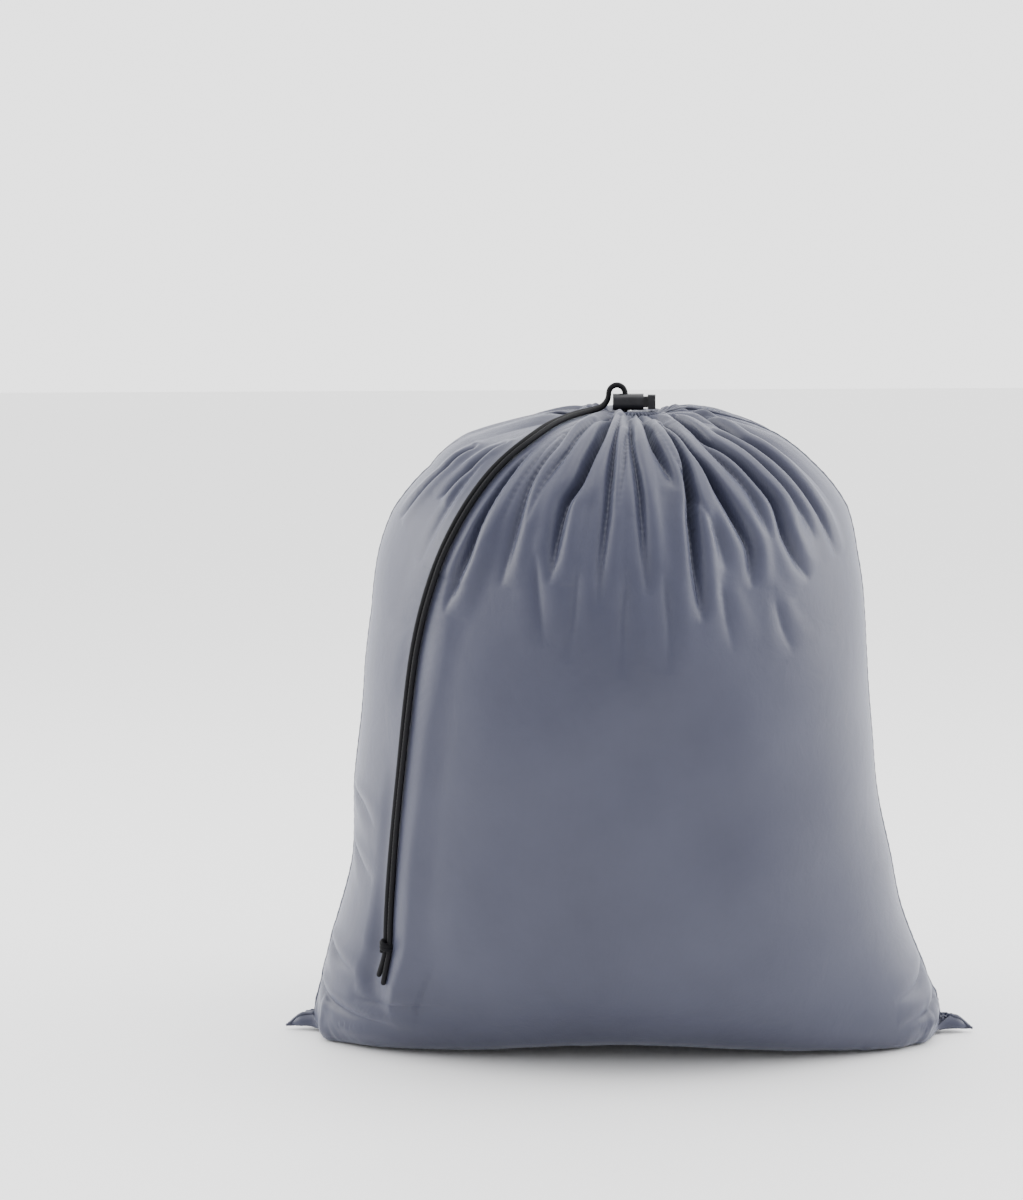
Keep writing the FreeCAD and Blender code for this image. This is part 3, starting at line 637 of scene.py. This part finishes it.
def carve(grid, normals, creases):
    """Presses creases into the cloth, deepest near the mouth, with a soft ridge on each side."""
    points, out = grid.reshape(-1, 3).copy(), normals.reshape(-1, 3)
    total = np.zeros(len(points))
    for (deep, wide), *route in creases:
        path = np.array(route, float) / 1000
        run = np.linalg.norm(np.diff(path, axis=0), axis=1).sum()
        path = resample(path, max(int(run / 0.002), 6))
        for _ in range(12):
            path[1:-1] = (path[:-2] + 2 * path[1:-1] + path[2:]) / 4
        margin = 0.045
        near = np.where(((points > path.min(0) - margin) & (points < path.max(0) + margin)).all(1))[0]
        away = points[near][:, None] - path[None]
        away -= (away * out[near][:, None]).sum(2, keepdims=True) * out[near][:, None]
        distance = np.linalg.norm(away, axis=2)
        best = distance.argmin(1)
        distance = distance[np.arange(len(near)), best]
        part = best / (len(path) - 1)
        side = np.sign((away[np.arange(len(near)), best] * np.array([1.0, 0, 0])).sum(1))
        taper = np.clip(part / 0.25 + 0.35, 0, 1) * np.clip((1 - part) / 0.55, 0, 1) ** 0.8
        half = wide / 1000 * (0.75 + 0.6 * part)
        valley = -0.62 * np.exp(-(distance / half) ** 2) - 0.55 * np.exp(-(distance / (0.42 * half)) ** 2)
        ridge = np.exp(-((distance - 2.5 * half) / (1.5 * half)) ** 2) * (0.42 + 0.16 * side)
        total[near] += deep / 1000 * taper * (valley + ridge)
    total = np.where(total > 0, HIGHEST_FOLD * np.tanh(total / HIGHEST_FOLD), total)
    points += out * total[:, None]
    return points.reshape(grid.shape)


def round_creases(grid):
    """Creases from the mouth on the sides and back, each down its own column of the cloth."""
    draw = np.random.default_rng(23)
    rows, around = grid.shape[:2]
    made = []
    number = 22
    for order in range(number):
        column = around * (0.53 + 0.44 * (order + draw.uniform(-0.3, 0.3)) / number)
        lean = draw.uniform(-0.035, 0.035) * around
        reach = draw.uniform(0.22, 0.44)
        deep, wide = draw.uniform(7, 14), draw.uniform(2.8, 3.8)
        part = np.linspace(0.05, reach, 9)
        line = [grid[int((1 - p) * (rows - 1)), int(round(column + lean * (p / reach) ** 2)) % around]
                for p in part]
        made.append(((deep, wide), *[tuple(p * 1000) for p in line]))
    return made


def gathers(grid, normals):
    """The small folds that fan out from the mouth and merge as the cloth opens."""
    rows, around = grid.shape[:2]
    share = np.arange(around) / around
    run = np.linalg.norm(np.diff(grid[::-1], axis=0), axis=2)
    down = np.concatenate([np.zeros((1, around)), np.cumsum(run, 0)])[::-1]
    draw = np.random.default_rng(8).uniform(0, 1, 8)
    wander = 0.25 * np.sin(TAU * (3 * share + draw[0])) + 0.18 * np.sin(TAU * (7 * share + draw[1]))
    uneven = 0.75 + 0.35 * np.sin(TAU * (5 * share + draw[2])) * np.sin(TAU * (2 * share + draw[3]))

    def fold(count, shift):
        return abs(np.sin(math.pi * (count * share + shift))) ** 0.7 * 2 - 1.2

    def between(first, full, fading, last):
        rise = np.clip((down - first) / max(full - first, 1e-6), 0, 1)
        fall = np.clip((last - down) / (last - fading), 0, 1)
        return rise * fall * fall

    height = (0.0020 * between(-0.002, 0, 0.006, 0.050) * fold(FINE_PLEATS, 0.5)
              + 0.0038 * uneven * between(0.004, 0.022, 0.035, 0.115) * fold(FINE_PLEATS / 2, 0.5 + wander)
              + 0.0032 * uneven * between(0.030, 0.070, 0.090, 0.200) * fold(14, draw[4] + wander))
    height[-1] = 0
    return grid + normals * height[..., None]


def broad_dents(grid, normals):
    """The laundry's own lumps, which show softly through the cloth."""
    x, y, z = grid[..., 0], grid[..., 1], grid[..., 2]
    lumps = (np.sin(31 * x + 11 * z + 1.3) * np.sin(27 * z - 9 * y + 0.4)
             + 0.6 * np.sin(52 * x - 23 * z + 2.1 + 14 * y) * np.sin(41 * z + 13 * x + 0.7))
    fade = np.clip(z / 0.06, 0, 1) * np.clip((0.45 - z) / 0.08, 0, 1)
    return grid + normals * (0.0014 * lumps * fade)[..., None]


def shape_cloth():
    grid = finer(RESTING)
    rows = len(grid)
    level = np.linspace(0, 1, rows)
    grid = relax(grid, 150, 0.9 * np.clip((level - 0.10) / 0.25, 0.02, 1))
    grid = finer(lift_base(to_outline(grid.reshape(-1, 3))).reshape(grid.shape))
    rows = len(grid)
    grid = broad_dents(grid, normals_of(grid))
    normals = normals_of(grid)
    grid = gathers(grid, normals)
    grid = carve(grid, normals, CREASES + round_creases(grid))
    grid = relax(grid, 1, np.full(rows, 0.5))
    shape = grid.shape
    moved = beneath_cords(grid.reshape(-1, 3), (front_path, rear_path))
    moved[:, 2] = np.maximum(moved[:, 2], 0.0012)
    return moved.reshape(shape)


GRID = shape_cloth()
ROWS, AROUND = GRID.shape[:2]
ACROSS = AROUND // 2


def panel(name, columns, *nodes):
    """One panel of the bag: the columns of the cloth from one side seam to the other."""
    points = GRID[:, columns]
    count = len(columns)
    index = np.arange(ROWS * count).reshape(ROWS, count)
    faces = [[index[r, c], index[r, c + 1], index[r + 1, c + 1], index[r + 1, c]]
             for r in range(ROWS - 1) for c in range(count - 1)]
    mesh = new_mesh(name, points.reshape(-1, 3), faces)
    layer = mesh.uv_layers.new(name="flat")
    corner = np.zeros(len(mesh.loops), np.int32)
    mesh.loops.foreach_get("vertex_index", corner)
    row, column = np.divmod(corner, count)
    across, up = column / (count - 1) * FLAT_WIDTH, row / (ROWS - 1) * (FLAT_HEIGHT - HEM_TAKE)
    layer.data.foreach_set("uv", np.stack([across, up], -1).astype(np.float32).ravel())
    return piece(name, mesh, CLOTH, "bag_cloth", *nodes)


front = panel("bag_front", list(range(ACROSS + 1)), "front_panel")
back = panel("bag_back", [*range(ACROSS, AROUND), 0], "back_panel")


def seam_ridge(name, path, outward, *nodes):
    """The turned and sewn edge, a soft ridge along the seam."""
    tangent = np.gradient(path, axis=0)
    tangent /= np.linalg.norm(tangent, axis=1, keepdims=True)
    side = np.cross(tangent, outward)
    side /= np.maximum(np.linalg.norm(side, axis=1, keepdims=True), 1e-9)
    sides = 10
    angle = np.linspace(0, TAU, sides, endpoint=False)
    ripple = 1 + 0.10 * np.sin(np.arange(len(path)) * 0.9) + 0.06 * np.sin(np.arange(len(path)) * 2.3)
    wide, tall = 0.0017 * ripple, 0.0010 * ripple
    points = (path[:, None] + side[:, None] * (np.cos(angle)[None, :] * wide[:, None])[..., None]
              + outward[:, None] * (np.sin(angle)[None, :] * tall[:, None])[..., None])
    points[..., 2] = np.maximum(points[..., 2], 0.0002)
    index = np.arange(len(path) * sides).reshape(len(path), sides)
    faces = grid_faces(len(path) - 1, sides, index) + [list(index[-1]), list(index[0][::-1])]
    return piece(name, new_mesh(name, points.reshape(-1, 3), faces), CLOTH, "bag_cloth", *nodes)


def stitch_line(name, path, outward, length, pitch, radius, *nodes):
    """A row of short stitches that sit in the cloth and dip in at both ends."""
    run = np.concatenate([[0], np.cumsum(np.linalg.norm(np.diff(path, axis=0), axis=1))])
    points, faces = [], []
    sides, rings = 6, 5
    for start in np.arange(pitch, run[-1] - pitch, pitch):
        where = start + np.linspace(0, length, rings)
        line = np.stack([np.interp(where, run, path[:, axis]) for axis in range(3)], -1)
        up = np.array([np.interp(start, run, outward[:, axis]) for axis in range(3)])
        up /= max(np.linalg.norm(up), 1e-9)
        along = line[-1] - line[0]
        side = np.cross(along / max(np.linalg.norm(along), 1e-9), up)
        first = len(points)
        for number, centre in enumerate(line):
            bow = math.sin(math.pi * (number + 0.5) / rings)
            for corner in range(sides):
                turn = TAU * corner / sides
                points.append(centre + (side * math.cos(turn) + up * math.sin(turn)) * radius * (0.5 + 0.5 * bow)
                              + up * radius * (1.6 * bow - 0.9))
        for number in range(rings - 1):
            for corner in range(sides):
                here, there = first + number * sides, first + (number + 1) * sides
                faces.append([here + corner, here + (corner + 1) % sides,
                              there + (corner + 1) % sides, there + corner])
        faces += [[first + c for c in range(sides)][::-1], [first + (rings - 1) * sides + c for c in range(sides)]]
    return piece(name, new_mesh(name, points, faces), THREAD, "sewing_thread", *nodes)


NORMALS = normals_of(GRID)
ROW_STEP = (FLAT_HEIGHT - HEM_TAKE) / (ROWS - 1)
INSET = max(int(round(0.006 / (FLAT_WIDTH / ACROSS))), 1)
side_pieces = []
for title, column, step in (("left", 0, 1), ("right", ACROSS, -1)):
    ridge = GRID[:-2, column]
    side_pieces.append(seam_ridge(f"{title}_seam_edge", ridge, NORMALS[:-2, column], f"{title}_side_seam"))
    inset = (column - step * INSET) % AROUND
    side_pieces.append(stitch_line(f"{title}_seam_stitches", GRID[3:-4, inset], NORMALS[3:-4, inset],
                                   0.0034, 0.0046, 0.00035, f"{title}_seam_thread"))
base_line = GRID[0, :ACROSS + 1]
down = np.tile((0.0, 0.0, 1.0), (len(base_line), 1))
side_pieces.append(seam_ridge("bottom_seam_edge", base_line + (0, 0, 0.0006), down, "bottom_seam"))
inner_row = max(int(round(0.006 / ROW_STEP)), 1)
base_columns = list(range(ACROSS + 3, AROUND - 3))
side_pieces.append(stitch_line("bottom_seam_stitches", GRID[inner_row, base_columns],
                               NORMALS[inner_row, base_columns], 0.0034, 0.0046, 0.00035,
                               "bottom_seam_thread"))

# ---------------------------------------------------------------- the gathered hem

# The hem's section, from its lower outer edge up, over and down inside: radius, height, fold depth (mm).
HEM_SECTION = [
    (18.6, 459.6, 4.0), (19.4, 457.4, 3.2), (20.2, 455.6, 2.0), (20.4, 456.6, 1.9), (20.2, 459.2, 2.0),
    (19.6, 461.8, 2.2), (18.2, 463.9, 2.4), (16.2, 465.0, 2.2), (13.6, 465.4, 1.9), (11.4, 464.9, 1.5),
    (9.8, 463.6, 1.1), (9.0, 461.4, 0.8), (8.9, 458.8, 0.6), (9.3, 456.2, 0.6), (10.4, 454.6, 0.7),
    (12.4, 454.0, 0.8), (15.4, 454.3, 1.0), (18.0, 455.2, 1.4),
]
HEM_AROUND = FINE_PLEATS * 14


def hem_half(name, start, stop, *nodes):
    """Half of the hem's channel, drawn up in small uneven folds, open where the cord comes out."""
    turn = np.arange(start, stop + 1)
    share = turn / HEM_AROUND
    theta = share * TAU - math.pi / 2
    draw = np.random.default_rng(11).uniform(0, 1, 4)
    wander = 0.30 * np.sin(TAU * (4 * share + draw[0])) + 0.22 * np.sin(TAU * (9 * share + draw[1]))
    wave = np.cos(TAU * FINE_PLEATS * share)
    uneven = np.cos(TAU * (FINE_PLEATS * share) + wander * 3)
    fullness = 0.8 + 0.3 * np.sin(TAU * (6 * share + draw[2]))
    points = []
    for order, (radius, high, fold) in enumerate(HEM_SECTION):
        mix = min(max((order - 1) / 4, 0), 1)
        shape = (1 - mix) * wave + mix * (uneven * fullness)
        r = (radius + fold * shape) / 1000
        z = (high + 0.35 * fold * uneven * mix * (0.4 if order < 6 else 0.5)) / 1000
        z = np.clip(z, 0.4537, 0.4658)
        points.append(np.stack([MOUTH.x + r * np.sin(theta), -r * np.cos(theta), z], -1))
    count = len(turn)
    index = np.arange(len(points) * count).reshape(len(points), count)
    middle = np.stack(points)
    faces = []
    for r in range(len(points)):
        below = (r + 1) % len(points)
        for c in range(count - 1):
            centre = (middle[r, c] + middle[below, c + 1]) / 2
            inside = math.hypot(centre[0] - MOUTH.x, centre[1]) < 0.0128
            slot = centre[0] < MOUTH.x - 0.005 and abs(centre[1]) < 0.0052 and centre[2] > 0.4572
            if not (inside and slot):
                faces.append([index[r, c], index[r, c + 1], index[below, c + 1], index[below, c]])
    mesh = new_mesh(name, middle.reshape(-1, 3), faces)
    layer = mesh.uv_layers.new(name="flat")
    corner = np.zeros(len(mesh.loops), np.int32)
    mesh.loops.foreach_get("vertex_index", corner)
    row, column = np.divmod(corner, count)
    layer.data.foreach_set("uv", np.stack([column / count * FLAT_WIDTH, row * 0.0018], -1)
                           .astype(np.float32).ravel())
    item = piece(name, mesh, CLOTH, "bag_cloth", *nodes)
    thick = item.modifiers.new("thickness", "SOLIDIFY")
    thick.thickness, thick.offset = 0.0003, 0
    return item


hem_front = hem_half("hem_ruffle_front", 0, HEM_AROUND // 2, "hem_channel_front")
hem_back = hem_half("hem_ruffle_back", HEM_AROUND // 2, HEM_AROUND, "hem_channel_back")

share = np.linspace(0, 1, HEM_AROUND, endpoint=False)
theta = share * TAU - math.pi / 2
wave = np.cos(TAU * FINE_PLEATS * share)
radius = 0.0206 + 0.0021 * wave
hem_line = np.stack([MOUTH.x + radius * np.sin(theta), -radius * np.cos(theta), 0 * theta + 0.4568], -1)
hem_out = np.stack([np.sin(theta), -np.cos(theta), 0 * theta], -1)
stitch_line("hem_stitches", hem_line, hem_out, 0.0026, 0.0036, 0.0003, "hem_thread")


def satin(name, lines, radius, *nodes):
    """Close parallel stitches, given as pairs of end points (m), each a little bowed thread."""
    points, faces = [], []
    sides, rings = 6, 5
    for start, end, up in lines:
        start, end, up = np.array(start), np.array(end), np.array(up, float)
        along = (end - start) / max(np.linalg.norm(end - start), 1e-9)
        side = np.cross(along, up)
        first = len(points)
        for number in range(rings):
            part = number / (rings - 1)
            bow = math.sin(math.pi * part)
            for corner in range(sides):
                turn = TAU * corner / sides
                points.append(start + (end - start) * part + up * radius * 1.2 * bow
                              + (side * math.cos(turn) + up * math.sin(turn)) * radius * (0.55 + 0.45 * bow))
        for number in range(rings - 1):
            for corner in range(sides):
                here, there = first + number * sides, first + (number + 1) * sides
                faces.append([here + corner, here + (corner + 1) % sides,
                              there + (corner + 1) % sides, there + corner])
        faces += [[first + c for c in range(sides)][::-1], [first + (rings - 1) * sides + c for c in range(sides)]]
    return piece(name, new_mesh(name, points, faces), THREAD, "sewing_thread", *nodes)


low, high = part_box("hem_bartacks")
tacks = []
for side in (-1, 1):
    outer = MOUTH.x + side * 0.0206
    for number in range(22):
        level = low.z + 0.001 + (high.z - low.z - 0.003) * number / 21
        tacks.append(((outer, -0.0007, level), (outer + side * 0.0002, 0.0007, level + 0.0002), (side, 0, 0)))
satin("hem_bartack_stitches", tacks, 0.00022, "hem_bartacks")
low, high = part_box("cord_exit_buttonhole")
middle = Vector(((low.x + high.x) / 2, 0, high.z))
worked = []
for number in range(44):
    angle = TAU * number / 44
    if math.cos(angle) > 0.75:
        continue
    shape = Vector((math.cos(angle) * 0.0026, math.sin(angle) * 0.0052, 0))
    outward = shape.normalized()
    inner = Vector((low.x + 0.0046, 0, 0.46565)) + shape
    worked.append((tuple(inner), tuple(inner + outward * 0.0014), (0, 0, 1)))
satin("buttonhole_stitches", worked, 0.00028, "cord_exit_buttonhole")

# ---------------------------------------------------------------- the lock's spring, copied in steel from the CAD part; in the lock it gives way as the plunger goes in

low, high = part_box("cord_lock_spring")
spring_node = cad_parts["cord_lock_spring"]
coil_mesh = spring_node.data.copy()
coil_mesh.transform(spring_node.matrix_world)
coil = piece("lock_spring_coil", coil_mesh, STEEL, "spring_steel", "cord_lock_spring")
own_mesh(coil)

# ---------------------------------------------------------------- carried-over CAD nodes

for name, finish, slot in (("cord_lock_body", PLASTIC, "lock_plastic"),
                           ("cord_lock_plunger", PLASTIC, "lock_plastic")):
    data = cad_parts[name].data
    data.materials.clear()
    data.materials.append(finish)

# ---------------------------------------------------------------- floor, light and camera

floor_material, nodes, links, shader = material("floor", (0.82, 0.82, 0.82), 0.6)
floor_noise = add_node(nodes, "ShaderNodeTexNoise", Scale=3.0, Detail=2.0)
floor_tint = ramp(nodes, links, floor_noise.outputs["Fac"], (0.90, 0.90, 0.90), (0.93, 0.93, 0.93))
links.new(floor_tint.outputs["Color"], shader.inputs["Base Color"])
floor = new_object("floor", new_mesh("floor", [(-12, -12, 0), (12, -12, 0), (12, 12, 0), (-12, 12, 0)],
                                     [(0, 1, 2, 3)]))
floor.data.materials.append(floor_material)

world = bpy.data.worlds.new("studio")
bpy.context.scene.world = world
world.use_nodes = True
sky_nodes, sky_links = world.node_tree.nodes, world.node_tree.links
sky = sky_nodes["Background"]
sky.inputs["Color"].default_value = (1.0, 1.0, 1.0, 1)
direction = sky_nodes.new("ShaderNodeTexCoord")
axes = sky_nodes.new("ShaderNodeSeparateXYZ")
glow = add_node(sky_nodes, "ShaderNodeMapRange", interpolation_type="SMOOTHSTEP")
for socket, value in (("From Min", -1.0), ("From Max", -0.15), ("To Min", 0.75), ("To Max", 2.6)):
    glow.inputs[socket].default_value = value
sky_links.new(direction.outputs["Generated"], axes.inputs[0])
sky_links.new(axes.outputs["Y"], glow.inputs["Value"])
sky_links.new(glow.outputs["Result"], sky.inputs["Strength"])


def soft_light(name, place, size, power, target=(0, 0, 0.22)):
    lamp = bpy.data.lights.new(name, "AREA")
    lamp.shape, lamp.size, lamp.energy = "SQUARE", size, power
    item = new_object(name, lamp)
    item.location = place
    item.rotation_euler = (Vector(target) - Vector(place)).to_track_quat("-Z", "Y").to_euler()
    return item


soft_light("top_light", (0.5, -0.2, 2.2), 1.4, 18)
soft_light("right_light", (2.0, 0.25, 1.0), 1.2, 30)
soft_light("left_light", (-2.0, 0.25, 1.0), 1.2, 30)

TARGET, DISTANCE, ELEVATION = Vector((0, 0, 0.235)), 2.11, math.radians(9)
FOCAL, SENSOR = 85, 36
TALL = 1200                                 # image height in pixels
RIGHT_OF_CENTRE, BELOW_CENTRE = 115.5, 122  # where the target lands in it
back_way = Vector((0, -math.cos(ELEVATION), math.sin(ELEVATION)))
lens = bpy.data.cameras.new("camera")
lens.lens, lens.sensor_width, lens.sensor_fit = FOCAL, SENSOR, "AUTO"
camera = new_object("camera", lens)
camera.location = TARGET + back_way * DISTANCE
pixels = FOCAL / SENSOR * TALL
turned = Matrix.Rotation(math.atan(RIGHT_OF_CENTRE / pixels), 3, "Y")
raised = Matrix.Rotation(math.atan(BELOW_CENTRE / pixels), 3, "X")
facing = (-back_way).to_track_quat("-Z", "Y").to_matrix()
camera.rotation_euler = (facing @ turned @ raised).to_euler()
bpy.context.scene.camera = camera
